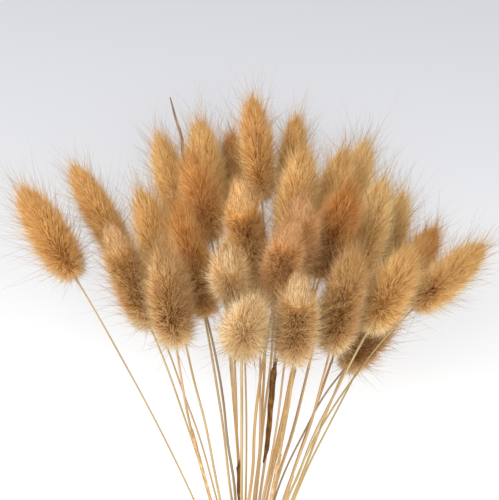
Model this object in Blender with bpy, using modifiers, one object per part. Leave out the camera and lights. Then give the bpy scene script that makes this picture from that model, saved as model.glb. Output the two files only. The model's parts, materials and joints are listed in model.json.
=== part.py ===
# Dried bunny tail grass: a tied bunch of 29 stalks lying on its side, fanned out above the tie.
# Up the bunch is +Y, across it is +X, and +Z points up from the surface that it lies on.

import math
import random

import bmesh
import bpy
import numpy as np
from mathutils import Matrix, Vector

MM = 0.001
NAME = "bunny_tail_bunch"
UP = np.array([0.0, 0.0, 1.0])
ALONG = np.array([0.0, 1.0, 0.0])

# Gap between pieces that touch, and how far soft tufts are pressed flat where a head lies
SEAT_GAP = 0.3 * MM
PRESSED = 2.7 * MM
WELD = 0.003 * MM

# Stems
STEM_RADIUS = 0.7 * MM
STEM_TOP_SHARE = 0.8
STEM_PITCH = 1.8 * MM
STEM_POINTS = 10
TAIL_POINTS = 3
TAIL_LENGTH = 92 * MM
TAIL_STEP = 3 * MM
TAIL_LENGTHS = 5
TAIL_SPREAD = 3.2
STRAIGHT_RUN = 6 * MM
TIE_HANDLE = 12 * MM
TAIL_HANDLE = 25 * MM
BEND_STEEP = 0.18
BEND_LEVEL = 0.2
AIM_DISTANCE = 40 * MM
FREE_DISTANCE = 24 * MM
FINE_POINTS = 60

# Heads
TUFTS_AROUND = 8
TUFT_ROWS = 8
BASE_ANGLE = math.radians(-72)
TIP_ANGLE = math.radians(64)
WIDEST = 0.42
BASE_BLUNTNESS = 0.55
TIP_BLUNTNESS = 0.8
TUFT_SHARE = 0.24
TUFT_LEAN = 0.55
TUFT_TOP = 0.16
TUFT_VARIATION = (0.85, 1.1)
TIP_TUFT = 2 * MM
NECK_RADIUS = 1.0 * MM
BALLS = 13
BALL_ANGLE = math.radians(80)
AWN_EVERY = 5
AWN_LENGTHS = (9 * MM, 17 * MM)
AWN_SHORTEST = 4 * MM
AWN_RADIUS = 0.9 * MM
AWN_STEP = 1.2 * MM
AWN_OUT = 0.62
AWN_UP = 0.78
AWN_STRAY = 0.16
AWN_SEED = 29

# Tie of wound twine
TIE_TURNS = 4
TWINE = 2.0 * MM
TURN_SEGMENTS = 4
TIE_STEPS = 20

# Flag leaf: its stem, where it leaves that stem, and the points that its blade bends through
LEAF_STALK = 5
LEAF_START = 150 * MM
LEAF_BENDS = ((-25, 186, 28), (-29, 212, 26), (-35, 247, 25))
LEAF_WIDTH = 2.0 * MM
LEAF_THICKNESS = 0.7 * MM
LEAF_POINTS = 12
LEAF_SIDES = 8
LEAF_SWELL = (math.radians(17), math.radians(172))

# One row for each stalk, lowest head first, in millimetres from the middle of the tie:
# head base (x, y), head tip (x, y), least height of the base, rise from base to tip, radius
STALKS = (
    ((-3, 187), (-7, 233), 4, 1, 7.5),
    ((46, 180), (58, 229), 4, 2, 8.0),
    ((19, 189), (25, 242), 4, 2, 8.0),
    ((-28, 181), (-42, 233), 4, 2, 8.5),
    ((-14, 188), (-22, 238), 18, 2, 8.5),
    ((61, 156), (76, 204), 4, 3, 8.5),
    ((36, 176), (47, 223), 20, 2, 8.2),
    ((67, 147), (89, 187), 22, 4, 8.2),
    ((-55, 170), (-81, 217), 22, 4, 8.5),
    ((8, 197), (3, 248), 24, 6, 7.8),
    ((-33, 153), (-48, 205), 30, 6, 8.5),
    ((50, 157), (64, 210), 28, 6, 8.5),
    ((20, 176), (27, 222), 34, 8, 8.2),
    ((45, 120), (70, 151), 28, 8, 8.6),
    ((-15, 179), (-25, 220), 34, 8, 8.0),
    ((75, 149), (107, 179), 36, 6, 9.0),
    ((-17, 144), (-30, 197), 38, 14, 8.5),
    ((5, 154), (-4, 212), 38, 26, 8.5),
    ((33, 162), (47, 206), 46, 12, 8.2),
    ((-76, 162), (-101, 205), 40, 6, 9.0),
    ((22, 160), (25, 203), 52, 20, 8.2),
    ((-41, 139), (-62, 192), 50, 12, 9.0),
    ((54, 140), (72, 176), 52, 18, 8.8),
    ((-30, 132), (-35, 179), 56, 16, 9.0),
    ((-6, 157), (-7, 171), 56, 38, 9.0),
    ((12, 150), (20, 192), 64, 28, 8.5),
    ((-1, 134), (1, 149), 60, 41, 9.5),
    ((37, 130), (47, 177), 60, 22, 8.8),
    ((21, 126), (23, 170), 68, 28, 9.2),
)
LIFT_STEP = 0.5 * MM
LIFT_LIMIT = 100
LAYING_ROUNDS = 3

HEAD_COLOUR = (0.55, 0.33, 0.13)
STEM_COLOUR = (0.62, 0.44, 0.22)
LEAF_COLOUR = (0.36, 0.18, 0.08)
TWINE_COLOUR = (0.48, 0.34, 0.19)


def clear_scene():
    for item in list(bpy.data.objects):
        bpy.data.objects.remove(item, do_unlink=True)


def make_material(name, colour, roughness):
    material = bpy.data.materials.new(name)
    material.use_nodes = True
    shader = material.node_tree.nodes["Principled BSDF"]
    shader.inputs["Base Color"].default_value = (*colour, 1.0)
    shader.inputs["Roughness"].default_value = roughness
    shader.inputs["Metallic"].default_value = 0.0
    return material


def bezier(start, first, second, end, count):
    t = np.linspace(0.0, 1.0, count)[:, None]
    s = 1.0 - t
    return start * s**3 + first * 3 * s * s * t + second * 3 * s * t * t + end * t**3


def packed_slots(count):
    """Places for the stems side by side in the tie, as offsets (x, z) from its middle."""
    row_pitch = STEM_PITCH * math.sqrt(3) / 2
    slots = []
    for row in range(-count, count + 1):
        for column in range(-count, count + 1):
            slots.append((STEM_PITCH * (column + 0.5 * (row % 2)), row_pitch * row))
    slots.sort(key=lambda slot: (round(math.hypot(*slot) / MM, 3), slot))
    return slots[:count]


class Stalk:
    """One stem with its head, placed by the two ends of the head and the stem's slot in the tie."""

    def __init__(self, number, row, tie_height):
        base, tip, height, rise, radius = row
        self.number = number
        self.lowest = np.array([*base, height]) * MM
        self.base = self.lowest
        self.radius = radius * MM
        self.slot = np.zeros(2)
        self.tie_height = tie_height
        reach = np.array([*tip, height + rise]) * MM - self.lowest
        self.length = np.linalg.norm(reach)
        self.axis = reach / self.length

    def in_tie(self, distance):
        return np.array([self.slot[0], distance, self.tie_height + self.slot[1]])

    def stem(self, count=STEM_POINTS):
        """Points from the top of the straight run in the tie to the seat of the head."""
        start = self.in_tie(STRAIGHT_RUN)
        seat = self.base - self.axis * SEAT_GAP
        level = math.hypot(self.axis[0], self.axis[1])
        bend = np.linalg.norm(seat - start) * (BEND_STEEP + BEND_LEVEL * level)
        return bezier(start, start + ALONG * TIE_HANDLE, seat - self.axis * bend, seat, count)

    def at(self, distance):
        """The point of the stem that lies a given distance up the bunch from the tie."""
        points = self.stem(FINE_POINTS)
        return np.array([np.interp(distance, points[:, 1], points[:, side]) for side in range(3)])

    def tail(self, lowest_slot):
        """Points from the cut end, which lies near the surface, to the straight run in the tie."""
        length = TAIL_LENGTH + TAIL_STEP * (self.number * 7 % TAIL_LENGTHS)
        end = self.in_tie(-STRAIGHT_RUN)
        cut = np.array([self.slot[0] * TAIL_SPREAD, -length, STEM_RADIUS + self.slot[1] - lowest_slot])
        return bezier(cut, cut + ALONG * TAIL_HANDLE, end - ALONG * TAIL_HANDLE, end, TAIL_POINTS)

    def balls(self):
        """Spheres (x, y, z, radius) that fill the head, to test what it would touch."""
        angles = np.linspace(-BALL_ANGLE, BALL_ANGLE, BALLS)
        heights, radii = egg_profile(self.length, self.radius, angles)
        return np.column_stack((self.base + self.axis * heights[:, None], radii))

    def beads(self):
        """Spheres (x, y, z, radius) strung along the free stem, past where the stems run side by side."""
        points = self.stem(FINE_POINTS)
        free = points[points[:, 1] > FREE_DISTANCE]
        return np.column_stack((free, np.full(len(free), STEM_RADIUS)))

    def aim(self):
        """Where the stem passes a short way above the tie, as (x, z)."""
        return self.at(AIM_DISTANCE)[[0, 2]]


def egg_profile(length, radius, angles):
    """Heights and radii along a blunt egg, for angles from one end (-90 degrees) to the other."""
    lower = angles < 0
    rise = np.sin(angles)
    heights = np.where(lower, WIDEST * (1 + rise), WIDEST + (1 - WIDEST) * rise) * length
    return heights, radius * np.cos(angles) ** np.where(lower, BASE_BLUNTNESS, TIP_BLUNTNESS)


def share_slots(stalks):
    """Swaps the slots of two stems wherever that uncrosses them."""
    swapped = True
    while swapped:
        swapped = False
        for index, stalk in enumerate(stalks):
            for other in stalks[:index]:
                if (stalk.slot - other.slot) @ (stalk.aim() - other.aim()) < 0:
                    stalk.slot, other.slot = other.slot, stalk.slot
                    swapped = True


def touches(balls, others):
    apart = np.linalg.norm(balls[:, None, :3] - others[None, :, :3], axis=2)
    return bool((apart < balls[:, None, 3] + others[None, :, 3] + SEAT_GAP).any())


def settle(stalks):
    """Lifts each head until it and its stem clear the surface and the stalks already laid."""
    heads = np.empty((0, 4))
    stems = np.empty((0, 4))
    for stalk in stalks:
        for lift in range(LIFT_LIMIT):
            stalk.base = stalk.lowest + UP * lift * LIFT_STEP
            balls = stalk.balls()
            beads = stalk.beads()
            sunk = (balls[:, 2] < balls[:, 3] - PRESSED).any()
            blocked = touches(balls, heads) or touches(balls, stems)
            if not (sunk or blocked or touches(beads, heads) or touches(beads, stems)):
                break
        heads = np.vstack((heads, balls))
        stems = np.vstack((stems, beads))


def free_length(start, direction, length, obstacles):
    """The longest an awn can be, up to length, before it meets the surface or anything in obstacles."""
    steps = np.arange(AWN_STEP, length, AWN_STEP)
    points = start + direction * steps[:, None]
    apart = np.linalg.norm(points[:, None] - obstacles[None, :, :3], axis=2) - obstacles[None, :, 3]
    blocked = (apart.min(axis=1) < AWN_RADIUS + SEAT_GAP) | (points[:, 2] < AWN_RADIUS)
    if not blocked.any():
        return length
    return float(steps[np.argmax(blocked)] - AWN_STEP)


def head_lattice(stalk):
    """An egg of rings joined by skewed quads, each of which a tuft then stands on."""
    core = stalk.radius * (1 - TUFT_SHARE)
    angles = np.linspace(BASE_ANGLE, TIP_ANGLE, TUFT_ROWS + 1)
    heights, radii = egg_profile(stalk.length, core, angles)
    rings = [(NECK_RADIUS, 0.0), *zip(radii, heights), (0.0, stalk.length + TIP_TUFT)]
    mesh = bmesh.new()
    points = [mesh.verts.new((radius, 0.0, height)) for radius, height in rings]
    edges = [mesh.edges.new(pair) for pair in zip(points, points[1:])]
    bmesh.ops.spin(mesh, geom=points + edges, cent=(0, 0, 0), axis=(0, 0, 1),
                   angle=math.tau, steps=TUFTS_AROUND, use_merge=True)
    bmesh.ops.remove_doubles(mesh, verts=mesh.verts, dist=WELD)
    for vertex in mesh.verts:
        ring = int(np.argmin([abs(vertex.co.z - height) for _, height in rings]))
        vertex.co.rotate(Matrix.Rotation(ring * math.pi / TUFTS_AROUND, 3, "Z"))
    bmesh.ops.holes_fill(mesh, edges=[edge for edge in mesh.edges if edge.is_boundary], sides=0)
    bmesh.ops.recalc_face_normals(mesh, faces=mesh.faces)
    return mesh, heights


def tuft_quads(mesh, heights):
    """The quads that carry tufts, ring by ring from the base and round each ring."""
    low, high = heights[0] - WELD, heights[-1] + WELD
    quads = [face for face in mesh.faces if all(low < vertex.co.z < high for vertex in face.verts)]
    middles = {face: face.calc_center_median() for face in quads}
    return sorted(quads, key=lambda face: (round(middles[face].z / MM), math.atan2(*middles[face].xy)))


def raise_awn(mesh, face, top, point):
    """Narrows the face to a small top and draws a needle from there to the point."""
    cap = bmesh.ops.extrude_discrete_faces(mesh, faces=[face])["faces"][0]
    middle = cap.calc_center_median()
    for vertex in cap.verts:
        vertex.co = top + (vertex.co - middle) * TUFT_TOP
    bmesh.ops.poke(mesh, faces=[cap])["verts"][0].co = point


def raise_tufts(mesh, heights, stalk, place, obstacles, draw):
    """Pulls a tuft out of every quad, and a long awn out of every few, swept toward the tip."""
    turn = place.to_3x3()
    axis = Vector((0, 0, 1))
    awns = []
    for index, face in enumerate(tuft_quads(mesh, heights)):
        side = math.sqrt(face.calc_area())
        normal = face.normal.copy()
        out = min(TUFT_SHARE * stalk.radius, side / 2) * draw.uniform(*TUFT_VARIATION)
        top = face.calc_center_median() + normal * out + axis * (side * TUFT_LEAN)
        length = 0.0
        if (index + stalk.number) % AWN_EVERY == 0:
            stray = Vector([draw.uniform(-AWN_STRAY, AWN_STRAY) for _ in range(3)])
            direction = (normal * AWN_OUT + axis * AWN_UP + stray).normalized()
            start = np.array(place @ top)
            heading = np.array(turn @ direction)
            length = free_length(start, heading, draw.uniform(*AWN_LENGTHS), obstacles)
        if length < AWN_SHORTEST:
            bmesh.ops.poke(mesh, faces=[face])["verts"][0].co = top
            continue
        raise_awn(mesh, face, top, top + direction * length)
        steps = np.arange(0.0, length, AWN_STEP)
        awns.append(np.column_stack((start + heading * steps[:, None], np.full(len(steps), AWN_RADIUS))))
    return awns


def press_flat(mesh, place):
    """Cuts off what would reach below the surface, and closes the cut with a flat face."""
    lowest = min((place @ vertex.co).z for vertex in mesh.verts)
    if lowest >= 0:
        return
    back = place.inverted()
    geometry = mesh.verts[:] + mesh.edges[:] + mesh.faces[:]
    bmesh.ops.bisect_plane(mesh, geom=geometry, dist=WELD, plane_co=back.translation,
                           plane_no=back.to_3x3() @ Vector(UP), clear_inner=True)
    bmesh.ops.holes_fill(mesh, edges=[edge for edge in mesh.edges if edge.is_boundary], sides=0)


def make_head(stalk, obstacles, material, draw):
    turn = Vector(stalk.axis).to_track_quat("Z", "Y")
    place = Matrix.Translation(Vector(stalk.base)) @ turn.to_matrix().to_4x4()
    mesh, heights = head_lattice(stalk)
    awns = raise_tufts(mesh, heights, stalk, place, obstacles, draw)
    press_flat(mesh, place)
    name = f"head_{stalk.number:02d}"
    data = bpy.data.meshes.new(name)
    mesh.to_mesh(data)
    mesh.free()
    data.materials.append(material)
    head = bpy.data.objects.new(name, data)
    head.location = stalk.base
    head.rotation_mode = "QUATERNION"
    head.rotation_quaternion = turn
    return head, awns


def make_tube(name, points, radius, shares, material):
    """A curve through the points, with filled caps, whose radius follows the shares."""
    curve = bpy.data.curves.new(name, "CURVE")
    curve.dimensions = "3D"
    curve.bevel_depth = radius
    curve.bevel_resolution = 1
    curve.use_fill_caps = True
    spline = curve.splines.new("POLY")
    spline.points.add(len(points) - 1)
    for target, point, share in zip(spline.points, points, shares):
        target.co = (*point, 1.0)
        target.radius = share
    curve.materials.append(material)
    return bpy.data.objects.new(name, curve)


def make_stem(stalk, lowest_slot, material):
    tail = stalk.tail(lowest_slot)
    stem = stalk.stem()
    shares = [1.0] * len(tail) + list(np.linspace(1.0, STEM_TOP_SHARE, len(stem)))
    return make_tube(f"stem_{stalk.number:02d}", [*tail, *stem], STEM_RADIUS, shares, material)


def make_leaf_section(material):
    """The blade's lens-shaped section, a guide that the blade is swept with."""
    width, thickness = LEAF_WIDTH / 2, LEAF_THICKNESS / 2
    angles = [-math.tau * side / LEAF_SIDES for side in range(LEAF_SIDES)]
    points = [(width * math.cos(angle), thickness * math.sin(angle), 0.0) for angle in angles]
    section = make_tube("leaf_section", points, 0.0, [1.0] * LEAF_SIDES, material)
    section.data.splines[0].use_cyclic_u = True
    section.data.use_fill_caps = False
    section.hide_render = True
    section.display_type = "WIRE"
    return section


def make_leaf(stalk, section, material):
    """A narrow blade that leaves its stem at a node and arches up among the heads."""
    start = stalk.at(LEAF_START) + UP * (STEM_RADIUS + SEAT_GAP + LEAF_THICKNESS / 2)
    bends = [np.array(bend) * MM for bend in LEAF_BENDS]
    swell = np.sqrt(np.sin(np.linspace(*LEAF_SWELL, LEAF_POINTS)))
    leaf = make_tube("leaf", bezier(start, *bends, LEAF_POINTS), 0.0, swell, material)
    leaf.data.bevel_mode = "OBJECT"
    leaf.data.bevel_object = section
    leaf.data.twist_mode = "Z_UP"
    return leaf


def twine_outline(inner):
    """Section of the tie as (radius, level): a ridge outside for each turn, and flat inside."""
    middle = inner + TWINE / 2
    outline = []
    for turn in range(TIE_TURNS):
        level = (turn - (TIE_TURNS - 1) / 2) * TWINE
        for step in range(TURN_SEGMENTS + (turn == TIE_TURNS - 1)):
            angle = math.pi * step / TURN_SEGMENTS
            outline.append((middle + TWINE / 2 * math.sin(angle), level - TWINE / 2 * math.cos(angle)))
    return outline + [(inner, outline[-1][1]), (inner, outline[0][1])]


def make_tie(inner, height, material):
    """Twine wound round the stems, turned in one piece."""
    mesh = bmesh.new()
    points = [mesh.verts.new((radius, 0.0, level)) for radius, level in reversed(twine_outline(inner))]
    for pair in zip(points, points[1:] + points[:1]):
        mesh.edges.new(pair)
    data = bpy.data.meshes.new("tie")
    mesh.to_mesh(data)
    mesh.free()
    data.materials.append(material)
    tie = bpy.data.objects.new("tie", data)
    turned = tie.modifiers.new("Turned", "SCREW")
    turned.steps = TIE_STEPS
    turned.render_steps = TIE_STEPS
    turned.use_merge_vertices = True
    turned.merge_threshold = WELD
    tie.location = (0.0, 0.0, height)
    tie.rotation_euler = (-math.pi / 2, 0.0, 0.0)
    return tie


def centre_on_surface(root, pieces):
    """Moves the bunch so that its box stands on the origin."""
    bpy.context.view_layer.update()
    graph = bpy.context.evaluated_depsgraph_get()
    corners = []
    for piece in pieces:
        evaluated = piece.evaluated_get(graph)
        data = evaluated.to_mesh()
        world = [evaluated.matrix_world @ vertex.co for vertex in data.vertices]
        corners.extend((np.min(world, axis=0), np.max(world, axis=0)))
        evaluated.to_mesh_clear()
    low, high = np.min(corners, axis=0), np.max(corners, axis=0)
    root.location = (-(low[0] + high[0]) / 2, -(low[1] + high[1]) / 2, -low[2])


def lay_stalks(slots, tie_height):
    """Places every stalk, sharing the slots again as the heads settle on each other."""
    stalks = [Stalk(number, row, tie_height) for number, row in enumerate(STALKS, 1)]
    for stalk, slot in zip(stalks, slots):
        stalk.slot = np.array(slot)
    for _ in range(LAYING_ROUNDS):
        share_slots(stalks)
        settle(stalks)
    return stalks


def make_heads(stalks, leaf, material):
    """Makes the heads one by one, keeping each awn clear of all the rest."""
    draw = random.Random(AWN_SEED)
    awns = [np.array([(*point.co.xyz, LEAF_WIDTH / 2) for point in leaf.data.splines[0].points])]
    heads = []
    for stalk in stalks:
        others = [other for other in stalks if other is not stalk]
        bodies = [other.balls() for other in others] + [other.beads() for other in others]
        head, new_awns = make_head(stalk, np.vstack(bodies + awns), material, draw)
        awns.extend(new_awns)
        heads.append(head)
    return heads


def add_collection(name, objects):
    collection = bpy.data.collections.new(name)
    bpy.context.scene.collection.children.link(collection)
    for item in objects:
        collection.objects.link(item)


def build():
    clear_scene()
    plume = make_material("plume", HEAD_COLOUR, 0.95)
    straw = make_material("straw", STEM_COLOUR, 0.6)
    dry_leaf = make_material("dry leaf", LEAF_COLOUR, 0.7)
    twine = make_material("twine", TWINE_COLOUR, 0.9)

    slots = packed_slots(len(STALKS))
    bundle = max(math.hypot(*slot) for slot in slots) + STEM_RADIUS
    tie_inner = (bundle + SEAT_GAP) / math.cos(math.pi / TIE_STEPS)
    tie_height = tie_inner + TWINE
    lowest_slot = min(height for _, height in slots)
    stalks = lay_stalks(slots, tie_height)

    section = make_leaf_section(dry_leaf)
    leaf = make_leaf(stalks[LEAF_STALK - 1], section, dry_leaf)
    tie = make_tie(tie_inner, tie_height, twine)
    stems = [make_stem(stalk, lowest_slot, straw) for stalk in stalks]
    pieces = [tie, leaf, *stems, *make_heads(stalks, leaf, plume)]

    root = bpy.data.objects.new("bunch_origin", None)
    for piece in pieces:
        piece.parent = root
    add_collection(NAME, [root, *pieces])
    add_collection("guides", [section])
    centre_on_surface(root, pieces)
    bpy.context.view_layer.update()


build()
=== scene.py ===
import json
import math

import bpy
import numpy as np
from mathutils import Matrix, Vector

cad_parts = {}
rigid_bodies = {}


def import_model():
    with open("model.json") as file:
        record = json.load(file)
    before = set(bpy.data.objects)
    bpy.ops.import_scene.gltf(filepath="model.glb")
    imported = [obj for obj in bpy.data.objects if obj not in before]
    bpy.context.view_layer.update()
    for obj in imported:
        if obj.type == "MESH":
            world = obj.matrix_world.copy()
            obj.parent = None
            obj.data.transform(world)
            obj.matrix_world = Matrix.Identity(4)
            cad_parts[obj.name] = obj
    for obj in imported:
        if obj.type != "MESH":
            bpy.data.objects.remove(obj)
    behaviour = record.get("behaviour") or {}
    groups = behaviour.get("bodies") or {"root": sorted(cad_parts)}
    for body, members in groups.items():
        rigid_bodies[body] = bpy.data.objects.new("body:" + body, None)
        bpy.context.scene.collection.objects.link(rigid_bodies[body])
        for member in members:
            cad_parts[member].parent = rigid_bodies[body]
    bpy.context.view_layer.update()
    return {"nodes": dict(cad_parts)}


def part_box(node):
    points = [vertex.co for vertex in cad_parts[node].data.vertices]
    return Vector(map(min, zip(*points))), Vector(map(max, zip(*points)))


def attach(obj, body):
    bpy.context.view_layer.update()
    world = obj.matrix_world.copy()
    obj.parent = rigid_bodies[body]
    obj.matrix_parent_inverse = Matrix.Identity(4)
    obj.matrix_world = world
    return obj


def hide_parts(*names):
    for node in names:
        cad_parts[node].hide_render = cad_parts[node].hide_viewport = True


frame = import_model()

mm = 0.001
restGap = 0.05 * mm  # kept under a piece that lies on the floor
stalkCount = sum(name.startswith("stem_") for name in frame["nodes"])
print("frame loaded:", stalkCount, "stalks")


def linear(hexCode):
    # sRGB hex to the linear numbers that Blender wants
    shares = [int(hexCode[start:start + 2], 16) / 255 for start in (1, 3, 5)]
    return (*(share / 12.92 if share <= 0.04045 else ((share + 0.055) / 1.055) ** 2.4 for share in shares), 1.0)


def addNode(tree, kind, settings=None, links=None):
    made = tree.nodes.new(kind)
    for name, value in (settings or {}).items():
        if name == "stops":  # a ramp's places and hex colours
            while len(made.color_ramp.elements) < len(value):
                made.color_ramp.elements.new(1.0)
            for element, (place, hexCode) in zip(made.color_ramp.elements, value):
                element.position, element.color = place, linear(hexCode)
        elif isinstance(name, int) or name in made.inputs:
            made.inputs[name].default_value = value
        else:
            setattr(made, name, value)
    for name, source in (links or {}).items():
        tree.links.new(source, made.inputs[name])
    return made


def newMaterial(name):
    made = bpy.data.materials.new(name)
    made.use_nodes = True
    made.node_tree.nodes.clear()
    return made, made.node_tree


def finishMaterial(tree, shader):
    addNode(tree, "ShaderNodeOutputMaterial", links={"Surface": shader.outputs[0]})


def selectOnly(piece):
    bpy.ops.object.select_all(action="DESELECT")
    piece.select_set(True)
    bpy.context.view_layer.objects.active = piece


def unit(vectors):
    return vectors / np.linalg.norm(vectors, axis=-1, keepdims=True)


def nodePoints(name):
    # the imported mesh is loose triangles, so each corner is taken once
    mesh = frame["nodes"][name].data
    found = np.empty(len(mesh.vertices) * 3, np.float32)
    mesh.vertices.foreach_get("co", found)
    return np.unique(np.round(found.reshape(-1, 3).astype(float), 6), axis=0)


# ---- camera, straight above the bunch, with the tie just below the picture
view = {"height": 0.650, "across": 0.002, "up": 0.176, "lens": 96.8, "sensor": 36, "clip": (0.01, 10)}
tieLow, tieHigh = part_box("tie")
tieMiddle = (tieLow + tieHigh) / 2
bpy.ops.object.select_all(action="DESELECT")
bpy.ops.object.camera_add(location=(tieMiddle.x + view["across"], tieMiddle.y + view["up"], view["height"]))
camera = bpy.context.object
camera.data.sensor_fit = "VERTICAL"
camera.data.sensor_height = view["sensor"]
camera.data.lens = view["lens"]
camera.data.clip_start, camera.data.clip_end = view["clip"]
bpy.context.scene.camera = camera
print("camera set")


# ---- floor and light
# floorGlow is painted light: the floor glows, though it is no lamp, and paper is how much lamp light it gives back
studio = {"floorSize": 6.0, "floorDrop": 0.0002, "floorGlow": 1.42, "paper": 0.32, "slant": 0.06,
          "sky": 1.1, "skyHex": "#F8F4EC", "aim": (0, 0.08, 0.03),
          # name, power, place and size of each lamp
          "lamps": (("softbox_key", 19.4, (-0.75, 0.75, 1.15), 1.1),
                    ("softbox_fill", 7.5, (0.9, -0.35, 0.95), 1.0)),
          # painted shade on the floor, greyer and cooler further up it: how far up each shade starts, in metres
          "shades": ((0.0, "#D2D2D2"), (0.05, "#BFBFC0"), (0.09, "#B4B5B7"), (0.15, "#A9AAAE"), (0.225, "#9D9EA3"))}


def paintedFloor():
    # matt white paper that glows as if lit from below: painted light that washes out the bunch's shadows
    # painted shade makes it a little greyer and cooler towards the heads and past them, and a little across it by
    # the slant
    made, tree = newMaterial("mattPaper")
    spot = addNode(tree, "ShaderNodeTexCoord")
    parts = addNode(tree, "ShaderNodeSeparateXYZ", links={0: spot.outputs["Object"]})
    first, last = studio["shades"][0][0], studio["shades"][-1][0]
    slanted = addNode(tree, "ShaderNodeMath", {"operation": "MULTIPLY_ADD", 1: studio["slant"]},
                      {0: parts.outputs["X"], 2: parts.outputs["Y"]})
    up = addNode(tree, "ShaderNodeMapRange", {"From Min": first, "From Max": last}, {"Value": slanted.outputs[0]})
    stops = tuple(((place - first) / (last - first), hexCode) for place, hexCode in studio["shades"])
    tint = addNode(tree, "ShaderNodeValToRGB", {"stops": stops}, {0: up.outputs[0]})
    paper = addNode(tree, "ShaderNodeHueSaturation", {"Value": studio["paper"]}, {"Color": tint.outputs[0]})
    # the emission is painted light: the paper glows in the colours of its painted shade
    shader = addNode(tree, "ShaderNodeBsdfPrincipled",
                     {"Roughness": 0.9, "Specular IOR Level": 0.1, "Emission Strength": studio["floorGlow"]},
                     {"Base Color": paper.outputs[0], "Emission Color": tint.outputs[0]})
    finishMaterial(tree, shader)
    return made


bpy.ops.mesh.primitive_plane_add(size=studio["floorSize"], location=(0, 0, -studio["floorDrop"]))
floor = bpy.context.object
floor.name = "paper_floor"
bpy.ops.object.transform_apply(location=True, rotation=True, scale=True)
floor.data.materials.append(paintedFloor())

sky = bpy.data.worlds.new("whiteRoom")
sky.use_nodes = True
sky.node_tree.nodes["Background"].inputs["Color"].default_value = linear(studio["skyHex"])
sky.node_tree.nodes["Background"].inputs["Strength"].default_value = studio["sky"]
bpy.context.scene.world = sky
bpy.context.scene.view_settings.view_transform = "Standard"

for name, power, place, size in studio["lamps"]:
    bpy.ops.object.light_add(type="AREA", location=place)
    lamp = bpy.context.object
    lamp.name = name
    lamp.data.energy, lamp.data.size = power, size
    lamp.rotation_euler = (Vector(studio["aim"]) - lamp.location).to_track_quat("-Z", "Y").to_euler()
print("floor and light set")


# ---- heads
# where a value is a pair of rows, the first row is height up the head, from 0 at its foot to 1 at its tip
fur = {
    # the egg that the bud and its fur are made on, and how near its poles the hairs grow, in degrees
    "widest": 0.38, "baseBlunt": 0.55, "tipBlunt": 0.8, "poles": 88, "eggSteps": 400,
    # the bud under the fur, its sizes as shares of the head's
    "coreShare": 0.57, "coreFoot": 0.07, "coreTall": 0.83, "coreSegments": 20, "coreRings": 13,
    "coreRough": 0.12 * mm, "coreTones": (0.1, 0.5), "coreDepths": (0.0, 0.12), "fringeTop": 0.2,
    "fringeDepth": 0.3, "paleDepth": 0.4, "closedDepth": 0.7, "closedInset": 0.05,
    # the hairs, which spiral up the bud by the golden angle and lean out from it, in degrees
    "hairs": 6100, "spiral": 2.399963, "jitter": 0.25, "stray": 0.17, "leanSpread": 12, "steadyFoot": 0.08,
    "lean": ((0, 0.06, 0.15, 0.3, 0.5, 0.8, 1), (96, 108, 96, 74, 58, 42, 15)),
    "hairWidth": 0.122 * mm, "widthSpread": (0.7, 1.15),
    "hairLength": (3.2 * mm, 10.2 * mm), "lengthSpread": (1.7, 3.4),  # most hairs are nearer the short end
    "reach": ((0, 0.05, 0.15, 0.35, 0.6, 1), (0.66, 0.84, 0.82, 0.88, 1, 0.82)),
    # how far the hairs of one tuft draw together, and how far past its middle hair's tip they aim
    "tufts": 260, "pull": 0.07, "pulls": ((0, 0.15, 0.75, 1), (0.4, 1, 1, 1.4)), "pullPast": 0.5 * mm,
    # where a hair starts on the root to tip scale, and the heights that its head's three tones are given for
    "starts": ((0, 0.1, 0.3), (0.6, 0.5, 0.1)), "closedStart": 0.6, "paleStart": 0.3,
    "toneHeights": (0, 0.07, 0.24, 0.62, 0.86, 1), "toneRange": (0.03, 0.89), "tuftShade": 0.08, "hairShade": 0.1,
    # the sparse long hairs, which stand off further: fine wisps and stiffer awns
    "long": {"lean": ((0, 0.3, 0.7, 1), (84, 68, 42, 22)), "leanSpread": 10, "stray": 0.12, "widths": (0.8, 1.1),
             "reach": ((0, 0.25, 1), (0.7, 0.95, 1)), "closedLean": 0.7, "closedShort": 0.55},
    "wisps": {"count": 2400, "length": (5.5 * mm, 11.5 * mm), "width": 0.075 * mm, "steps": 2, "bend": 0.2,
              "taper": 0.7, "places": (0.2, 0.9),
              "toneHeights": (0, 0.3, 1), "toneRange": (0.2, 0.89), "shade": 0.1},
    "awns": {"count": 380, "length": (10 * mm, 20 * mm), "width": 0.09 * mm, "steps": 4, "bend": 0.36,
             "taper": 0.45, "places": (0.1, 0.6), "tones": (0.95, 0.99)},
    # heads still in bud: their closed tip, with its steadier hairs, and the crown that stands off below it
    "coned": (18, 21, 22, 25, 26, 29), "coneStart": 0.70, "coneBlend": 0.06, "coneLean": 7, "coneHair": 0.46,
    "coneWaist": 1.15, "coneSteady": 0.5, "coneStraight": 0.6,
    "crownStart": 0.3, "crownBlend": 0.3, "crownLean": 26, "crownShort": 0.2,
    # heads bent over towards their tip: how far along x and y, from what height, and how sharply
    "nods": {25: (-0.001, 0.010), 26: (0.003, 0.0), 27: (0.003, 0.006)}, "nodStart": 0.4, "nodCurve": 1.5,
    # these heads' hairs and bud get less of the painted shade that darkens the roots
    "pale": (25, 27),  # heads without dark roots
    # the lowest heads are pressed flat, and long hairs above the ceiling droop
    "floorGap": 0.15 * mm, "ceiling": 0.118, "droop": 0.5, "seed": 7,
}
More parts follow.
